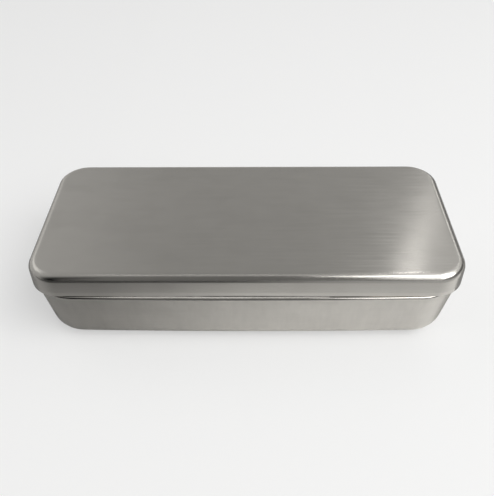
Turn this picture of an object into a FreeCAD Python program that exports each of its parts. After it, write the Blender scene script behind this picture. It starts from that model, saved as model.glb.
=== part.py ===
import FreeCAD, Part
import math
import os

# A plain instrument box of satin stainless steel sheet: a drawn tray with leaning walls, a shoulder and a neck,
# and a drawn lid whose skirt stands on the shoulder and fits round the neck. Millimetres, +Z up. The origin is
# under the middle of the tray, on the surface that the box stands on. The long sides run along X.

# The lid, seen from outside
LID_LENGTH = 180.0
LID_WIDTH = 80.0
LID_DEPTH = 10.5
LID_CORNER_RADIUS = 13.0
LID_BEND_RADIUS = 3.2
LID_SHEET = 0.7

# The tray's shoulder. It stands out past the lid at its ends and, a little more, in the middle of its long sides,
# which are swollen to a very large radius.
SHOULDER_HEIGHT = 29.3
END_PAST_LID = 0.8
LONG_SIDE_PAST_LID = 1.3
LONG_SIDE_CURVE_RADIUS = 3200.0
SHOULDER_CORNER_RADIUS = 19.5
SHOULDER_BEND_RADIUS = 0.7

# The tray below its shoulder
WALL_LEAN = 9.5
BOTTOM_BEND_RADIUS = 9.0
TRAY_SHEET = 0.7

# The neck that stands inside the lid. It clears the lid's skirt least in the middle of the long sides.
NECK_HEIGHT = 7.5
NECK_CLEARANCE = 0.3

# How far the skirt's edge stays above the ledge when the lid is on
SEAT_GAP = 0.2

# How far a bent rim runs on flat before it meets the panel that closes it
RIM_FLAT = 1.0

# A corner of a sheet's face with a smaller radius than this is sharp
SMALLEST_ROUND = 0.05

LEDGE_WIDTH = LONG_SIDE_PAST_LID + LID_SHEET + NECK_CLEARANCE
LID_UNDERSIDE = SHOULDER_HEIGHT + SEAT_GAP
LID_TOP = LID_UNDERSIDE + LID_DEPTH


def outline(half_length, half_width, corner_radius, side_radius, z):
    """A closed rounded rectangle at height z, half_width being half of its greatest width.

    Its long sides are arcs of side_radius, or straight where that is None. It starts at one end's straight side.
    """
    corner_x = half_length - corner_radius
    if side_radius:
        side_centre = half_width - side_radius
        corner_y = side_centre + math.sqrt((side_radius - corner_radius) ** 2 - corner_x**2)
        start = math.atan2(corner_x, corner_y - side_centre)
    else:
        corner_y = half_width - corner_radius
        start = 0.0
    end = math.pi / 2

    def on_corner(sign_x, sign_y, angle):
        x = corner_x + corner_radius * math.sin(angle)
        y = corner_y + corner_radius * math.cos(angle)
        return FreeCAD.Vector(sign_x * x, sign_y * y, z)

    def corner(sign_x, sign_y, first, last):
        return Part.Arc(*[on_corner(sign_x, sign_y, a) for a in (first, (first + last) / 2, last)]).toShape()

    def long_side(sign):
        first = on_corner(sign, sign, start)
        last = on_corner(-sign, sign, start)
        if side_radius:
            return Part.Arc(first, FreeCAD.Vector(0, sign * half_width, z), last).toShape()
        return Part.LineSegment(first, last).toShape()

    def end_side(sign):
        return Part.LineSegment(on_corner(sign, -sign, end), on_corner(sign, sign, end)).toShape()

    return Part.Wire(
        [
            end_side(1),
            corner(1, 1, end, start),
            long_side(1),
            corner(-1, 1, start, end),
            end_side(-1),
            corner(-1, -1, end, start),
            long_side(-1),
            corner(1, -1, start, end),
        ]
    )


def lid_outline(inset, z):
    """The lid's outline, moved inwards by inset."""
    return outline(LID_LENGTH / 2 - inset, LID_WIDTH / 2 - inset, LID_CORNER_RADIUS - inset, None, z)


def shoulder_outline(inset, z):
    """The tray's outline at its shoulder, moved inwards by inset."""
    return outline(
        LID_LENGTH / 2 + END_PAST_LID - inset,
        LID_WIDTH / 2 + LONG_SIDE_PAST_LID - inset,
        SHOULDER_CORNER_RADIUS - inset,
        LONG_SIDE_CURVE_RADIUS - inset,
        z,
    )


def sheet_face(points, radii, offset):
    """One face of a bent sheet: its middle line moved to its left by offset, as corners and their radii.

    A radius of None is a sharp fold.
    """
    ways = [(on - here).normalize() for here, on in zip(points, points[1:])]
    lefts = [FreeCAD.Vector(-way.z, 0, way.x) for way in ways]
    corners = [points[0] + lefts[0] * offset]
    rounds = []
    for point, radius, left, next_left, way in zip(points[1:-1], radii, lefts, lefts[1:], ways[1:]):
        corners.append(point + (left + next_left) * (offset / (1 + left.dot(next_left))))
        turn = 1 if left.dot(way) > 0 else -1
        rounds.append(0.0 if radius is None else radius - turn * offset)
    corners.append(points[-1] + lefts[-1] * offset)
    return corners, rounds


def bent_edges(corners, rounds):
    """Straight edges through corners, with an arc at each inner one that has a radius."""
    edges = []
    last = corners[0]
    for before, here, after, radius in zip(corners, corners[1:], corners[2:], rounds):
        back = (before - here).normalize()
        on = (after - here).normalize()
        half_angle = back.getAngle(on) / 2
        first = here
        second = here
        if radius > SMALLEST_ROUND:
            first = here + back * (radius / math.tan(half_angle))
            second = here + on * (radius / math.tan(half_angle))
            middle = here + (back + on).normalize() * (radius / math.sin(half_angle) - radius)
            edges.append(Part.Arc(first, middle, second).toShape())
        edges.append(Part.LineSegment(last, first).toShape())
        last = second
    edges.append(Part.LineSegment(last, corners[-1]).toShape())
    return edges


def pressing(plan, points, radii, sheet, panel_height):
    """One drawn half: a sheet whose section follows points (outwards, up) all round plan, and its flat panel."""
    rim = plan(0.0, 0.0)
    start = rim.Vertexes[0].Point
    middle_line = [start + FreeCAD.Vector(outwards, 0, up) for outwards, up in points]
    one_face, its_rounds = sheet_face(middle_line, radii, sheet / 2)
    other_face, other_rounds = sheet_face(middle_line, radii, -sheet / 2)
    edges = bent_edges(one_face, its_rounds) + bent_edges(other_face, other_rounds)
    edges += [Part.LineSegment(one_face[end], other_face[end]).toShape() for end in (0, -1)]
    section = Part.Face(Part.Wire(Part.__sortEdges__(edges)))
    ring = rim.makePipe(section)
    panel = Part.Face(plan(-points[0][0], panel_height)).extrude(FreeCAD.Vector(0, 0, sheet))
    return ring.fuse(panel).removeSplitter().Solids[0]


def make_lid():
    """The lid: flat top, one bend, and a straight skirt."""
    half_sheet = LID_SHEET / 2
    bend = LID_BEND_RADIUS - half_sheet
    top = LID_TOP - half_sheet
    points = [
        (-LID_BEND_RADIUS - RIM_FLAT, top),
        (-half_sheet, top),
        (-half_sheet, LID_UNDERSIDE),
    ]
    return pressing(lid_outline, points, [bend], LID_SHEET, LID_TOP - LID_SHEET)


def make_tray():
    """The tray: flat bottom, large bend, leaning wall, shoulder, ledge and neck."""
    half_sheet = TRAY_SHEET / 2
    lean = math.radians(WALL_LEAN)
    ledge = SHOULDER_HEIGHT - half_sheet
    neck = -LEDGE_WIDTH - half_sheet
    bend = BOTTOM_BEND_RADIUS - half_sheet

    def wall(z):
        return -(SHOULDER_HEIGHT - z) * math.tan(lean) - half_sheet / math.cos(lean)

    bend_reach = bend * math.tan((math.pi / 2 - lean) / 2)
    points = [
        (wall(half_sheet) - bend_reach - RIM_FLAT, half_sheet),
        (wall(half_sheet), half_sheet),
        (wall(ledge), ledge),
        (neck, ledge),
        (neck, SHOULDER_HEIGHT + NECK_HEIGHT),
    ]
    radii = [bend, SHOULDER_BEND_RADIUS - half_sheet, None]
    return pressing(shoulder_outline, points, radii, TRAY_SHEET, 0.0)


os.makedirs("parts", exist_ok=True)
for name, shape in (("tray", make_tray()), ("lid", make_lid())):
    shape.exportStep(f"parts/{name}.step")
    print(name, shape.ShapeType, "valid", shape.isValid(), "volume", round(shape.Volume), "cubic mm")
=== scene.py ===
import math

import bmesh
import bpy
from mathutils import Matrix, Vector


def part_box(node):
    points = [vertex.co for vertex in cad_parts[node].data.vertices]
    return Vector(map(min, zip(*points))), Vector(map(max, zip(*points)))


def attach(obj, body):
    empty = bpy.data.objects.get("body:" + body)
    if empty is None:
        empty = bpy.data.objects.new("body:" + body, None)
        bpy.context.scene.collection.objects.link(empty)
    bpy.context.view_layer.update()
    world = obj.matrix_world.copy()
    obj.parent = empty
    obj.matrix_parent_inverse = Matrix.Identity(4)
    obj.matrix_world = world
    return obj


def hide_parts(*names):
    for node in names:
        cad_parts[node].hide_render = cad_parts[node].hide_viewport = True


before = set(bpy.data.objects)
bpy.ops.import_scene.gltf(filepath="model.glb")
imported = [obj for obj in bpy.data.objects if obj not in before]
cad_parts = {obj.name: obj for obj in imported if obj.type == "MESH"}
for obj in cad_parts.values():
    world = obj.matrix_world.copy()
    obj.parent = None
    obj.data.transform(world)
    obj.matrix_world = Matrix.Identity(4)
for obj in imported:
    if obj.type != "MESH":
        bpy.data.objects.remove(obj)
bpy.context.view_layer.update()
scene = bpy.context.scene
scene.view_settings.view_transform = "Standard"

# THE CAMERA
# It looks down on the closed box from the front, a little right of its middle. It stands close by, as for a
# close picture of a small thing on a table, so the near side looks larger.
CAMERA_PITCH = math.radians(41.34)
CAMERA_YAW = math.radians(-0.99)
CAMERA_ROLL = math.radians(-0.71)
CAMERA_DISTANCE = 0.27767
CAMERA_SLIDE = -0.01468
FOCAL_LENGTH_PIXELS = 626.47
IMAGE_LONG_SIDE_PIXELS = 496
SENSOR_MM = 36.0
NEAREST_SEEN = 0.01

lid_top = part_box("lid")[1].z
turn = Matrix.Rotation(-CAMERA_YAW, 3, "Z")
across = turn @ Vector((1, 0, 0))
upwards = turn @ Vector((0, math.sin(CAMERA_PITCH), math.cos(CAMERA_PITCH)))
forwards = turn @ Vector((0, math.cos(CAMERA_PITCH), -math.sin(CAMERA_PITCH)))
image_right = across * math.cos(CAMERA_ROLL) + upwards * math.sin(CAMERA_ROLL)
image_up = upwards * math.cos(CAMERA_ROLL) - across * math.sin(CAMERA_ROLL)
eye = Vector((0, 0, lid_top)) + upwards * CAMERA_SLIDE - forwards * CAMERA_DISTANCE

camera_data = bpy.data.cameras.new("camera")
camera_data.sensor_width = SENSOR_MM
camera_data.lens = FOCAL_LENGTH_PIXELS * SENSOR_MM / IMAGE_LONG_SIDE_PIXELS
camera_data.clip_start = NEAREST_SEEN
camera = bpy.data.objects.new("camera", camera_data)
facing = Matrix((image_right, image_up, -forwards)).transposed()
camera.matrix_world = Matrix.Translation(eye) @ facing.to_4x4()
scene.collection.objects.link(camera)
scene.camera = camera

# THE FLOOR
# A pale matt table top, much wider than the view, on which the box stands. The camera and the steel see it
# whiter than the lamps make it, and the box's shadow stays on it.
FLOOR_RADIUS = 4.0
FLOOR_SEGMENTS = 96
FLOOR_COLOUR = (0.85, 0.85, 0.84, 1.0)
FLOOR_ROUGHNESS = 0.85
FLOOR_WHITENESS = 0.45


def add_node(tree, kind, **settings):
    """A new node. Each setting is the value of an input or, where none has its name, of the node."""
    node = tree.nodes.new(kind)
    for name, value in settings.items():
        if name in node.inputs:
            node.inputs[name].default_value = value
        else:
            setattr(node, name, value)
    return node


def calculate(tree, operation, first, second=None, third=None):
    """A Math node on sockets or plain numbers."""
    node = add_node(tree, "ShaderNodeMath", operation=operation)
    for socket, value in zip(node.inputs, (first, second, third)):
        if isinstance(value, (int, float)):
            socket.default_value = value
        elif value is not None:
            tree.links.new(value, socket)
    return node.outputs["Value"]


def plain_material(name, roughness, colour=None):
    """A material whose colour is left to nodes where none is given."""
    material = bpy.data.materials.new(name)
    material.use_nodes = True
    inputs = material.node_tree.nodes["Principled BSDF"].inputs
    inputs["Roughness"].default_value = roughness
    if colour:
        inputs["Base Color"].default_value = colour
    return material


def mesh_object(name, shape):
    """An object of the scene, made from a bmesh."""
    mesh = bpy.data.meshes.new(name)
    shape.to_mesh(mesh)
    shape.free()
    made = bpy.data.objects.new(name, mesh)
    scene.collection.objects.link(made)
    return made


disc = bmesh.new()
bmesh.ops.create_circle(disc, cap_ends=True, radius=FLOOR_RADIUS, segments=FLOOR_SEGMENTS)
floor = mesh_object("floor", disc)

table = plain_material("pale_table", FLOOR_ROUGHNESS, FLOOR_COLOUR)
floor_tree = table.node_tree
white_table = add_node(floor_tree, "ShaderNodeEmission", Strength=1.0)
ray = add_node(floor_tree, "ShaderNodeLightPath")
seen = calculate(floor_tree, "MAXIMUM", ray.outputs["Is Camera Ray"], ray.outputs["Is Glossy Ray"])
seen = calculate(floor_tree, "MAXIMUM", seen, ray.outputs["Is Transmission Ray"])
floor_mix = add_node(floor_tree, "ShaderNodeMixShader")
floor_tree.links.new(calculate(floor_tree, "MULTIPLY", seen, FLOOR_WHITENESS), floor_mix.inputs["Fac"])
floor_tree.links.new(floor_tree.nodes["Principled BSDF"].outputs["BSDF"], floor_mix.inputs[1])
floor_tree.links.new(white_table.outputs["Emission"], floor_mix.inputs[2])
floor_tree.links.new(floor_mix.outputs["Shader"], floor_tree.nodes["Material Output"].inputs["Surface"])
floor.data.materials.append(table)

# THE LIGHT
# A soft studio. The room is grey and lighter to both sides. It fades out over the front, glows a little low
# at the back, and has a dark low corner at the right. A large soft box stands at the front right, a small one
# beside it lights the lid's front bend, and two weak ones stand behind. A narrow strip overhead draws the
# line of light across the lid's right end, and a tube lights the ledge between the halves.
ROOM_GLOW = 0.34
LEFT_GLOW = 0.48
LEFT_GLOW_FADES = (-0.40, -0.10)
RIGHT_GLOW = 0.30
RIGHT_GLOW_GROWS = (0.10, 0.36)
RIGHT_GLOW_ENDS = (0.60, 0.82)
FRONT_FADE = (-0.75, -0.25)
FRONT_SHARE = 0.5
FRONT_SHARE_GROWS = (-0.33, -0.22)
LOW_BACK_GLOW = 0.11
LOW_BACK_TOP = (0.45, 0.75)
LOW_BACK_GROWS = (0.0, 0.5)
DARK_CORNER_SHARE = 0.25
DARK_CORNER_GROWS = (0.36, 0.50)
DARK_CORNER_TOP = (0.30, 0.50)
BACKDROP = 0.8
MAIN_RADIANCE = 4.2
EDGE_RADIANCE = 1.8
WINDOW_RADIANCE = 2.2
BACK_RADIANCE = 0.6
STRIP_RADIANCE = 11.0
TUBE_RADIANCE = 1.6
STRIP_TURN = math.radians(-8)


def ramp(tree, value, between, outcomes, kind="SMOOTHSTEP"):
    """A value that changes from one outcome to the other between two inputs."""
    node = add_node(tree, "ShaderNodeMapRange", interpolation_type=kind)
    for name, number in zip(("From Min", "From Max", "To Min", "To Max"), between + outcomes):
        node.inputs[name].default_value = number
    tree.links.new(value, node.inputs["Value"])
    return node.outputs["Result"]


def area_light(name, place, rotation, size, radiance):
    """A rectangular light that shines down its own Z. size is its width and height in metres."""
    light_data = bpy.data.lights.new(name, "AREA")
    light_data.shape = "RECTANGLE"
    light_data.size, light_data.size_y = size
    light_data.energy = radiance * math.pi * size[0] * size[1]
    light = bpy.data.objects.new(name, light_data)
    light.location = place
    light.rotation_euler = rotation
    scene.collection.objects.link(light)


def soft_box(name, azimuth, elevation, distance, size, radiance):
    """A rectangular light that faces the box.

    azimuth is in degrees from the back, +Y, towards the right, and elevation in degrees from the table.
    """
    turned = math.radians(azimuth)
    raised = math.radians(elevation)
    level = Vector((math.sin(turned), math.cos(turned), 0)) * math.cos(raised)
    towards = level + Vector((0, 0, math.sin(raised)))
    area_light(name, towards * distance, towards.to_track_quat("Z", "Y").to_euler(), size, radiance)


# The room's light depends on the direction that it comes from.
world = bpy.data.worlds.new("room")
scene.world = world
world.use_nodes = True
room = world.node_tree
direction = add_node(room, "ShaderNodeTexCoord")
room_axes = add_node(room, "ShaderNodeSeparateXYZ")
room.links.new(direction.outputs["Generated"], room_axes.inputs["Vector"])
to_right, to_back, to_up = room_axes.outputs

left_side = ramp(room, to_right, LEFT_GLOW_FADES, (LEFT_GLOW, ROOM_GLOW))
right_side = ramp(room, to_right, RIGHT_GLOW_GROWS, (0.0, RIGHT_GLOW))
right_side = calculate(room, "MULTIPLY", right_side, ramp(room, to_back, RIGHT_GLOW_ENDS, (1.0, 0.0)))
front_share = ramp(room, to_right, FRONT_SHARE_GROWS, (0.0, FRONT_SHARE))
front_share = calculate(room, "MAXIMUM", ramp(room, to_back, FRONT_FADE, (0.0, 1.0)), front_share)
low_back = ramp(room, to_up, LOW_BACK_TOP, (LOW_BACK_GLOW, 0.0))
low_back = calculate(room, "MULTIPLY", low_back, ramp(room, to_back, LOW_BACK_GROWS, (0.0, 1.0)))
corner_share = ramp(room, to_right, DARK_CORNER_GROWS, (1.0, DARK_CORNER_SHARE))
corner_share = calculate(room, "MAXIMUM", corner_share, ramp(room, to_up, DARK_CORNER_TOP, (0.0, 1.0)))
glow = calculate(room, "MULTIPLY", calculate(room, "ADD", left_side, right_side), front_share)
glow = calculate(room, "MULTIPLY", calculate(room, "ADD", glow, low_back), corner_share)

# Low views show the camera a plain pale backdrop in place of the room.
backdrop = add_node(room, "ShaderNodeMix", data_type="FLOAT")
room.links.new(add_node(room, "ShaderNodeLightPath").outputs["Is Camera Ray"], backdrop.inputs[0])
room.links.new(glow, backdrop.inputs[2])
backdrop.inputs[3].default_value = BACKDROP
room.links.new(backdrop.outputs[0], room.nodes["Background"].inputs["Strength"])
room.nodes["Background"].inputs["Color"].default_value = (1, 1, 1, 1)

soft_box("main_light", 124, 48, 1.3, (0.95, 0.95), MAIN_RADIANCE)
soft_box("edge_light", 154, 30, 1.3, (0.42, 0.26), EDGE_RADIANCE)
soft_box("window_light", 35, 30, 1.2, (0.20, 0.12), WINDOW_RADIANCE)
soft_box("back_light", 300, 40, 1.4, (0.8, 0.5), BACK_RADIANCE)
area_light("strip_light", (0.346, 0.60, 1.0), (0, 0, STRIP_TURN), (0.014, 0.5), STRIP_RADIANCE)
area_light("ledge_light", (-0.085, -0.145, 1.0), (0, 0, 0), (0.49, 0.05), TUBE_RADIANCE)

# THE PAINTED SHADE IN THE STEEL
# Sheets lie on the table in front of the box and beside it, and show only in the steel. Their colour is
# painted shade on the reflected table. The front one is pale near the box and dark farther out, and darker on
# the left than on the right. Its far edge stands up a little. The side ones are painted an even grey shade.
SHADE_SHEET_HEIGHT = 0.0002
FRONT_SHADE_SHEET_HALF_WIDTH = 0.9
FRONT_SHADE_SHEET_START = -0.0325
FRONT_SHADE_SHEET_REACH = 1.6
FRONT_SHADE_SHEET_TOP = 0.012
PAINTED_SHADE_PALE_FROM = (-0.105, -0.060)
PAINTED_SHADE_PALE_SHADES = (0.07, 1.0)
PAINTED_SHADE_RIGHT_FROM = (-0.010, 0.080)
PAINTED_SHADE_RIGHT_SHADES = (0.07, 0.45)
PAINTED_SHADE_LEFT_FROM = (-0.070, 0.010)
PAINTED_SHADE_LEFT_SHARES = (0.44, 0.99)
SIDE_SHADE_COLOUR = (0.32, 0.32, 0.32, 1.0)
SIDE_SHADE_SHEET_START = 0.083
SIDE_SHADE_SHEET_FRONT = -0.0320
SIDE_SHADE_SHEET_BACK = 0.6
SIDE_SHADE_SHEET_WIDTH = 0.5


def painted_shade_sheet(name, first_edge, moves, material):
    """A sheet drawn from its first edge through some moves, seen only in reflections, where its colour is
    painted shade.
    """
    sheet = bmesh.new()
    edge = sheet.edges.new([sheet.verts.new(end) for end in first_edge])
    for move in moves:
        drawn = bmesh.ops.extrude_edge_only(sheet, edges=[edge])["geom"]
        edge = [item for item in drawn if isinstance(item, bmesh.types.BMEdge)][0]
        bmesh.ops.translate(sheet, vec=move, verts=edge.verts[:])
    shade_sheet = mesh_object(name, sheet)
    shade_sheet.data.materials.append(material)
    shade_sheet.visible_camera = False
    shade_sheet.visible_shadow = False
    shade_sheet.visible_diffuse = False


# Painted shade: the front sheet's colour darkens farther from the box and towards the left, and only the
# steel reflects it.
front_material = plain_material("painted_shade_dark_to_pale", 1.0)
painted_shade_tree = front_material.node_tree
painted_shade_place = add_node(painted_shade_tree, "ShaderNodeTexCoord")
painted_shade_axes = add_node(painted_shade_tree, "ShaderNodeSeparateXYZ")
painted_shade_tree.links.new(painted_shade_place.outputs["Object"], painted_shade_axes.inputs["Vector"])
near_pale = ramp(painted_shade_tree, painted_shade_axes.outputs["Y"], PAINTED_SHADE_PALE_FROM, PAINTED_SHADE_PALE_SHADES, "LINEAR")
right_pale = ramp(painted_shade_tree, painted_shade_axes.outputs["X"], PAINTED_SHADE_RIGHT_FROM, PAINTED_SHADE_RIGHT_SHADES, "LINEAR")
left_share = ramp(painted_shade_tree, painted_shade_axes.outputs["X"], PAINTED_SHADE_LEFT_FROM, PAINTED_SHADE_LEFT_SHARES, "LINEAR")
painted_shade = calculate(painted_shade_tree, "MULTIPLY", calculate(painted_shade_tree, "MAXIMUM", near_pale, right_pale), left_share)
painted_shade_tree.links.new(painted_shade, painted_shade_tree.nodes["Principled BSDF"].inputs["Base Color"])

front_edge = [(side * FRONT_SHADE_SHEET_HALF_WIDTH, FRONT_SHADE_SHEET_START, SHADE_SHEET_HEIGHT) for side in (-1, 1)]
painted_shade_sheet("front_painted_shade", front_edge, [(0, -FRONT_SHADE_SHEET_REACH, 0), (0, 0, FRONT_SHADE_SHEET_TOP)], front_material)
# Painted shade: the side sheets' grey darkens the steel's reflections beside the box.
side_material = plain_material("painted_shade_grey", 1.0, SIDE_SHADE_COLOUR)
for side in (-1, 1):
    side_edge = [(side * SIDE_SHADE_SHEET_START, end, SHADE_SHEET_HEIGHT) for end in (SIDE_SHADE_SHEET_FRONT, SIDE_SHADE_SHEET_BACK)]
    painted_shade_sheet("side_painted_shade", side_edge, [(side * SIDE_SHADE_SHEET_WIDTH, 0, 0)], side_material)

# THE LID
# One seamless pressing of satin stainless steel: a flat top, one bend all round and a straight skirt with a
# trimmed edge. Its rim is made as a section of the sheet's outer face, which is carried round one corner and
# along the half sides beside it, mirrored, closed by the flat top and given its thickness.
SHEET = 0.0007
TRIM_RADIUS = 0.00015
LID_CORNER_RADIUS = 0.013
LID_BEND_RADIUS = 0.0032
RIM_FLAT = 0.001
BEND_STEPS = 10
CORNER_STEPS = 18
SIDE_STEPS = 12
TRIM_STEPS = 3
SHARP = math.radians(50)
SAME_PLACE = 1e-6
PANEL_SLACK = 1e-5


def wire_section(rim, points, radii):
    """A line of edges through points in the XZ plane, with each inner point rounded to its radius."""
    corners = [rim.verts.new(point) for point in points]
    for first, second in zip(corners, corners[1:]):
        rim.edges.new((first, second))
    for corner, before, after, radius in zip(corners[1:-1], points, points[2:], radii):
        back = Vector(before) - corner.co
        on = Vector(after) - corner.co
        bmesh.ops.bevel(
            rim,
            geom=[corner],
            affect="VERTICES",
            offset=radius / math.tan(back.angle(on) / 2),
            segments=BEND_STEPS,
            profile=0.5,
            material=-1,
        )
    return rim.verts[:] + rim.edges[:]


def carry(rim, section, centre, angle, move, steps):
    """Carries the section round a centre or along a straight move, and returns its last place."""
    made = bmesh.ops.spin(
        rim,
        geom=section,
        cent=centre,
        axis=(0, 0, 1),
        dvec=Vector(move) / steps,
        angle=angle,
        steps=steps,
        use_merge=False,
        use_normal_flip=False,
        use_duplicate=False,
    )
    return made["geom_last"]


def close_with_panel(rim, reach, height, opens_down):
    """Fills the rim's inner edge, at a height and within a reach, and turns all faces outwards."""
    inner = {
        vert
        for vert in rim.verts
        if abs(vert.co.z - height) < SAME_PLACE and abs(vert.co.x) < reach + PANEL_SLACK
    }
    inner_edges = [edge for edge in rim.edges if edge.is_boundary and inner.issuperset(edge.verts)]
    bmesh.ops.contextual_create(rim, geom=inner_edges)
    bmesh.ops.recalc_face_normals(rim, faces=rim.faces[:])
    panel = max(rim.faces, key=lambda face: face.calc_area())
    if (panel.normal.z > 0) != opens_down:
        bmesh.ops.reverse_faces(rim, faces=rim.faces[:])


def give_thickness(shell):
    """Makes sheet steel of a shell that is the sheet's outer face."""
    gauge = shell.modifiers.new("sheet", "SOLIDIFY")
    gauge.thickness = SHEET
    gauge.offset = -1.0
    gauge.use_even_offset = True
    trim = shell.modifiers.new("trimmed_edge", "BEVEL")
    trim.limit_method = "ANGLE"
    trim.angle_limit = SHARP
    trim.width = TRIM_RADIUS
    trim.segments = TRIM_STEPS
    shading = shell.modifiers.new("flat_faces_lead", "WEIGHTED_NORMAL")
    shading.mode = "FACE_AREA"
    shading.keep_sharp = True


def pressed_shell(name, half_length, half_width, corner_radius, side_radius, points, radii):
    """One drawn half. Its rim's section runs through points (outwards, up), the first of them on its panel.

    half_width is half of the greatest width. The long sides are arcs of side_radius, or straight without one.
    """
    rim = bmesh.new()
    section = wire_section(rim, [(half_length + outwards, 0, up) for outwards, up in points], radii)
    corner_x = half_length - corner_radius
    if side_radius:
        side_centre = half_width - side_radius
        corner_y = side_centre + math.sqrt((side_radius - corner_radius) ** 2 - corner_x**2)
        side_angle = math.atan2(corner_x, corner_y - side_centre)
    else:
        corner_y = half_width - corner_radius
        side_angle = 0.0
    section = carry(rim, section, (0, 0, 0), 0.0, (0, corner_y, 0), SIDE_STEPS)
    section = carry(rim, section, (corner_x, corner_y, 0), math.pi / 2 - side_angle, (0, 0, 0), CORNER_STEPS)
    if side_radius:
        carry(rim, section, (0, side_centre, 0), side_angle, (0, 0, 0), 2 * SIDE_STEPS)
    else:
        carry(rim, section, (0, 0, 0), 0.0, (-corner_x, 0, 0), 2 * SIDE_STEPS)
    for axis in ("X", "Y"):
        half = rim.verts[:] + rim.edges[:] + rim.faces[:]
        bmesh.ops.mirror(rim, geom=half, axis=axis, merge_dist=SAME_PLACE)
    bmesh.ops.remove_doubles(rim, verts=rim.verts[:], dist=SAME_PLACE)
    panel_at, panel_height = points[0]
    close_with_panel(rim, half_length + panel_at, panel_height, panel_height > points[-1][1])
    for face in rim.faces:
        face.smooth = True
    shell = mesh_object(name, rim)
    give_thickness(shell)
    return shell


lid_low, lid_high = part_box("lid")
lid_shell = pressed_shell(
    "lid_shell",
    lid_high.x,
    lid_high.y,
    LID_CORNER_RADIUS,
    None,
    [(-LID_BEND_RADIUS - RIM_FLAT, lid_high.z), (0.0, lid_high.z), (0.0, lid_low.z)],
    [LID_BEND_RADIUS],
)
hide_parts("lid")
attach(lid_shell, "lid")

# THE TRAY
# The other pressing: a flat bottom, a large bend, walls that lean in towards the bottom, a shoulder that
# turns inwards to a ledge for the lid's skirt, and a neck that stands up inside the lid. Its long sides are a
# little swollen, so the ledge shows most in their middle.
SHOULDER_HEIGHT = 0.0293
SHOULDER_CORNER_RADIUS = 0.0195
SHOULDER_BEND_RADIUS = 0.0008
LEDGE_SLOPE = math.radians(26)
LONG_SIDE_CURVE_RADIUS = 3.2
END_PAST_LID = 0.0008
LONG_SIDE_PAST_LID = 0.0013
WALL_LEAN = math.radians(9.5)
BOTTOM_BEND_RADIUS = 0.009
NECK_CLEARANCE = 0.0003
NECK_FOOT_RADIUS = 0.0004
LEDGE_WIDTH = LONG_SIDE_PAST_LID + SHEET + NECK_CLEARANCE

tray_low, tray_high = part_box("tray")
ledge_drop = LONG_SIDE_PAST_LID * math.tan(LEDGE_SLOPE)
foot_inset = (SHOULDER_HEIGHT - ledge_drop) * math.tan(WALL_LEAN)
bend_reach = BOTTOM_BEND_RADIUS * math.tan((math.pi / 2 - WALL_LEAN) / 2)
tray_shell = pressed_shell(
    "tray_shell",
    lid_high.x + END_PAST_LID,
    lid_high.y + LONG_SIDE_PAST_LID,
    SHOULDER_CORNER_RADIUS,
    LONG_SIDE_CURVE_RADIUS,
    [
        (-foot_inset - bend_reach - RIM_FLAT, tray_low.z),
        (-foot_inset, tray_low.z),
        (0.0, SHOULDER_HEIGHT - ledge_drop),
        (-LONG_SIDE_PAST_LID, SHOULDER_HEIGHT),
        (-LEDGE_WIDTH, SHOULDER_HEIGHT),
        (-LEDGE_WIDTH, tray_high.z),
    ],
    [BOTTOM_BEND_RADIUS, SHOULDER_BEND_RADIUS, NECK_FOOT_RADIUS, NECK_FOOT_RADIUS],
)
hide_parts("tray")
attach(tray_shell, "tray")

# THE STEEL
# Both halves are satin stainless steel. A belt has ground the lid along its length, top and bends, and the
# skirt and the tray's walls all round. The ledge, the neck and the skirt's lowest edge, which the belt
# doesn't reach, keep the brighter rolled surface. Cleaning and handling leave faint smears, fine nicks and
# polished bends.
STEEL_COLOUR = (0.58, 0.56, 0.52)
GRAIN = 0.9
ROLLED_ROUGHNESS = 0.06
HAIRLINE_SHARE = 0.6
CLOUD_SHARE = 0.75
ROUGHNESS_SHARES = {"lines": 0.06, "mottle": 0.10, "smears": 0.03, "bend": -0.03}
SHADE_SHARES = {"lines": 0.12, "mottle": 0.16, "smears": -0.03, "nicks": 0.2, "bend": 0.04}
LINE_RELIEF = 0.25
NICK_RELIEF = -0.06
RELIEF_STRENGTH = 0.5
RELIEF_DEPTH = 0.00002
LINE_LEAN = 0.04
SPRING_FROM_X = 0.03
SPRING_FROM_Y = -0.04
TANGENT_NUDGE = 0.03

# Over which heights the rolled surface ends above the skirt's edge, and starts next to the tray's shoulder
ROLLED_SKIRT_ENDS = (0.0012, 0.0024)
ROLLED_TRAY_STARTS = (-0.0012, -0.0010)

# How level a surface is for its lines to be those of the flat top, and how level times steep a bend is
LEVEL_FROM = (0.55, 0.85)
BEND_FROM = (0.05, 0.22)

# How many times finer than a metre the lines are along and across, and the other patterns along X, Y and Z
HAIRLINES = (60.0, 5000.0)
STREAKS = (30.0, 1500.0)
SMEARS = (38.0, 60.0, 60.0)
CLOUDS = (110.0, 110.0, 60.0)
DRAWN_MARKS = (520.0, 520.0, 25.0)
NICK_PATCHES = (95.0, 95.0, 95.0)
NICKS = 190.0

# Where in their noise smears and patches of nicks grow, and a nick's radius as a share of the nicks' spacing
SMEARS_FROM = (0.42, 0.68)
NICK_PATCHES_FROM = (0.66, 0.74)
NICK_RADIUS = (0.02, 0.07)


def noise(tree, place, scale, detail, roughness=0.5):
    """Soft noise from 0 to 1. scale is how many times finer than a metre it is along each axis."""
    stretch = add_node(tree, "ShaderNodeVectorMath", operation="MULTIPLY")
    tree.links.new(place, stretch.inputs[0])
    stretch.inputs[1].default_value = scale
    node = add_node(tree, "ShaderNodeTexNoise", Scale=1.0, Detail=detail, Roughness=roughness)
    tree.links.new(stretch.outputs["Vector"], node.inputs["Vector"])
    return node.outputs["Fac"]


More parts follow.
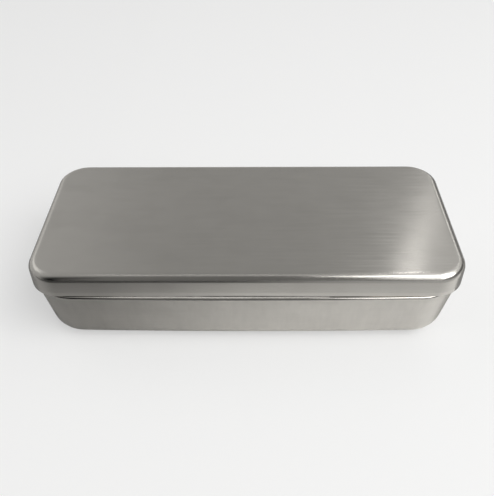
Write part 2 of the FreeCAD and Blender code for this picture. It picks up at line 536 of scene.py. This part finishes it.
def mix(tree, share, first, second):
    """The first value where share is 0 and the second where it is 1."""
    node = add_node(tree, "ShaderNodeMix", data_type="FLOAT")
    for socket, value in ((node.inputs[0], share), (node.inputs[2], first), (node.inputs[3], second)):
        if isinstance(value, float):
            socket.default_value = value
        else:
            tree.links.new(value, socket)
    return node.outputs[0]


def vector_step(tree, operation, first, second=None):
    """A Vector Math node on a socket and, where it needs one, a second socket or a vector."""
    node = add_node(tree, "ShaderNodeVectorMath", operation=operation)
    tree.links.new(first, node.inputs[0])
    if isinstance(second, tuple):
        node.inputs[1].default_value = second
    elif second is not None:
        tree.links.new(second, node.inputs[1])
    return node.outputs["Vector"]


def scaled(tree, vector, factor):
    """A fixed vector multiplied by a socket."""
    node = add_node(tree, "ShaderNodeVectorMath", operation="SCALE")
    node.inputs[0].default_value = vector
    tree.links.new(factor, node.inputs["Scale"])
    return node.outputs["Vector"]


def mask_group(name, inputs, outputs):
    """A shader node group, and the nodes that hold what goes into it and what comes out."""
    group = bpy.data.node_groups.new(name, "ShaderNodeTree")
    for socket, kind in inputs:
        group.interface.new_socket(socket, in_out="INPUT", socket_type=kind)
    for socket in outputs:
        group.interface.new_socket(socket, in_out="OUTPUT", socket_type="NodeSocketFloat")
    return group, add_node(group, "NodeGroupInput"), add_node(group, "NodeGroupOutput")


# Grinding lines. On the flat top they run along X, and on upright faces they run level all the way round.
lines, lines_in, lines_out = mask_group(
    "grinding_lines",
    [("Place", "NodeSocketVector"), ("Top", "NodeSocketFloat")],
    ["Hairlines", "Streaks"],
)
place = lines_in.outputs["Place"]
for name, (along, crosswise), detail in (("Hairlines", HAIRLINES, 2.0), ("Streaks", STREAKS, 3.0)):
    on_top = noise(lines, place, (along, crosswise, 0.0), detail, 0.6)
    upright = noise(lines, place, (along, along, crosswise), detail, 0.6)
    lines.links.new(mix(lines, lines_in.outputs["Top"], upright, on_top), lines_out.inputs[name])

# Wear. Smears are broad soft patches, nicks are tiny specks, and mottle is the unevenness of the sheet.
wear, wear_in, wear_out = mask_group(
    "handling_wear",
    [("Place", "NodeSocketVector")],
    ["Smears", "Nicks", "Mottle"],
)
place = wear_in.outputs["Place"]
smears = ramp(wear, noise(wear, place, SMEARS, 4.0, 0.55), SMEARS_FROM, (0.0, 1.0))
wear.links.new(smears, wear_out.inputs["Smears"])
clouds = calculate(wear, "MULTIPLY", noise(wear, place, CLOUDS, 3.0), CLOUD_SHARE)
drawn = noise(wear, place, DRAWN_MARKS, 2.0)
mottle = calculate(wear, "MULTIPLY_ADD", drawn, 1.0 - CLOUD_SHARE, clouds)
wear.links.new(mottle, wear_out.inputs["Mottle"])
specks = add_node(wear, "ShaderNodeTexVoronoi", Scale=NICKS)
wear.links.new(place, specks.inputs["Vector"])
speck = ramp(wear, specks.outputs["Distance"], NICK_RADIUS, (1.0, 0.0))
rare = ramp(wear, noise(wear, place, NICK_PATCHES, 1.0), NICK_PATCHES_FROM, (0.0, 1.0))
wear.links.new(calculate(wear, "MULTIPLY", speck, rare), wear_out.inputs["Nicks"])


def steel_patterns(tree, body):
    """How strong each pattern is at a place, as sockets by name."""
    slope = add_node(tree, "ShaderNodeSeparateXYZ")
    tree.links.new(body.outputs["Normal"], slope.inputs["Vector"])
    level = calculate(tree, "ABSOLUTE", slope.outputs["Z"])
    ground = add_node(tree, "ShaderNodeGroup", node_tree=lines)
    tree.links.new(body.outputs["Object"], ground.inputs["Place"])
    tree.links.new(ramp(tree, level, LEVEL_FROM, (0.0, 1.0)), ground.inputs["Top"])
    used = add_node(tree, "ShaderNodeGroup", node_tree=wear)
    tree.links.new(body.outputs["Object"], used.inputs["Place"])
    streaks = calculate(tree, "SUBTRACT", ground.outputs["Streaks"], 0.5)
    hairlines = calculate(tree, "SUBTRACT", ground.outputs["Hairlines"], 0.5)
    level_and_steep = calculate(tree, "MULTIPLY", level, calculate(tree, "SUBTRACT", 1.0, level))
    return {
        "lines": calculate(tree, "ADD", streaks, calculate(tree, "MULTIPLY", hairlines, HAIRLINE_SHARE)),
        "mottle": calculate(tree, "SUBTRACT", used.outputs["Mottle"], 0.5),
        "smears": used.outputs["Smears"],
        "nicks": used.outputs["Nicks"],
        "bend": ramp(tree, level_and_steep, BEND_FROM, (0.0, 1.0)),
    }


def add_patterns(tree, total, patterns, shares, strengths):
    """A total with each pattern added by its share, times its strength where it has one."""
    for name, share in shares.items():
        amount = share * strengths.get(name, 1.0)
        total = calculate(tree, "MULTIPLY_ADD", patterns[name], amount, total)
    return total


def steel_normal(tree, patterns, at, spring):
    """The steel's normal: the relief of its lines and nicks and, with a spring, its panel's rise."""
    relief = calculate(tree, "MULTIPLY", patterns["lines"], LINE_RELIEF)
    relief = calculate(tree, "MULTIPLY_ADD", patterns["nicks"], NICK_RELIEF, relief)
    bump = add_node(tree, "ShaderNodeBump", Strength=RELIEF_STRENGTH, Distance=RELIEF_DEPTH)
    tree.links.new(relief, bump.inputs["Height"])
    if spring:
        past_x = calculate(tree, "SUBTRACT", at.outputs["X"], SPRING_FROM_X)
        past_x = calculate(tree, "POWER", calculate(tree, "MAXIMUM", past_x, 0.0), 2.0)
        past_y = calculate(tree, "SUBTRACT", at.outputs["Y"], SPRING_FROM_Y)
        panel = add_node(tree, "ShaderNodeBump", Strength=1.0, Distance=spring)
        tree.links.new(calculate(tree, "MULTIPLY", past_x, past_y), panel.inputs["Height"])
        tree.links.new(panel.outputs["Normal"], bump.inputs["Normal"])

    # The lines also lean the normal along the box, which draws a highlight's edge out into short dashes.
    lean = scaled(tree, (1, 0, 0), calculate(tree, "MULTIPLY", patterns["lines"], LINE_LEAN))
    return vector_step(tree, "NORMALIZE", vector_step(tree, "ADD", bump.outputs["Normal"], lean))


def across_lines(tree):
    """The tangent. It lies across the lines, where their light spreads, and is nudged upright on the ends."""
    surface = add_node(tree, "ShaderNodeNewGeometry")
    tangent = vector_step(tree, "CROSS_PRODUCT", surface.outputs["Normal"], (1, 0, 0))
    return vector_step(tree, "NORMALIZE", vector_step(tree, "ADD", tangent, (0, 0, TANGENT_NUDGE)))


def satin_steel(name, roughness, rough_between, rolled_between, rolled_shares, strengths, spring=0.0):
    """Ground stainless steel, whose share of rolled surface changes between two heights, in metres.

    rough_between keeps a half on one side of 0.274. There a noise filter changes how it treats a metal,
    which would leave patches. strengths are of its lines and mottle. spring turns the shading as if the
    panel rose a little towards its right back corner.
    """
    steel = plain_material(name, roughness)
    tree = steel.node_tree
    surface = tree.nodes["Principled BSDF"].inputs
    surface["Metallic"].default_value = 1.0
    surface["Anisotropic"].default_value = GRAIN
    body = add_node(tree, "ShaderNodeTexCoord")
    at = add_node(tree, "ShaderNodeSeparateXYZ")
    tree.links.new(body.outputs["Object"], at.inputs["Vector"])
    patterns = steel_patterns(tree, body)

    smoothest, roughest = rough_between
    rough = add_patterns(tree, roughness, patterns, ROUGHNESS_SHARES, strengths)
    rough = calculate(tree, "MINIMUM", calculate(tree, "MAXIMUM", rough, smoothest), roughest)
    rolled = ramp(tree, at.outputs["Z"], rolled_between, rolled_shares)
    tree.links.new(mix(tree, rolled, rough, ROLLED_ROUGHNESS), surface["Roughness"])
    shade = add_patterns(tree, 1.0, patterns, SHADE_SHARES, strengths)
    tree.links.new(scaled(tree, STEEL_COLOUR, shade), surface["Base Color"])
    tree.links.new(steel_normal(tree, patterns, at, spring), surface["Normal"])
    tree.links.new(across_lines(tree), surface["Tangent"])
    return steel


lid_steel = satin_steel(
    "lid_satin_steel",
    roughness=0.22,
    rough_between=(0.12, 0.265),
    rolled_between=tuple(lid_low.z + up for up in ROLLED_SKIRT_ENDS),
    rolled_shares=(1.0, 0.0),
    strengths={"lines": 1.1, "mottle": 0.5},
    spring=5.7,
)
tray_steel = satin_steel(
    "tray_satin_steel",
    roughness=0.32,
    rough_between=(0.285, 0.6),
    rolled_between=tuple(SHOULDER_HEIGHT + up for up in ROLLED_TRAY_STARTS),
    rolled_shares=(0.0, 1.0),
    strengths={"lines": 0.6, "mottle": 2.8},
)
lid_shell.data.materials.append(lid_steel)
tray_shell.data.materials.append(tray_steel)
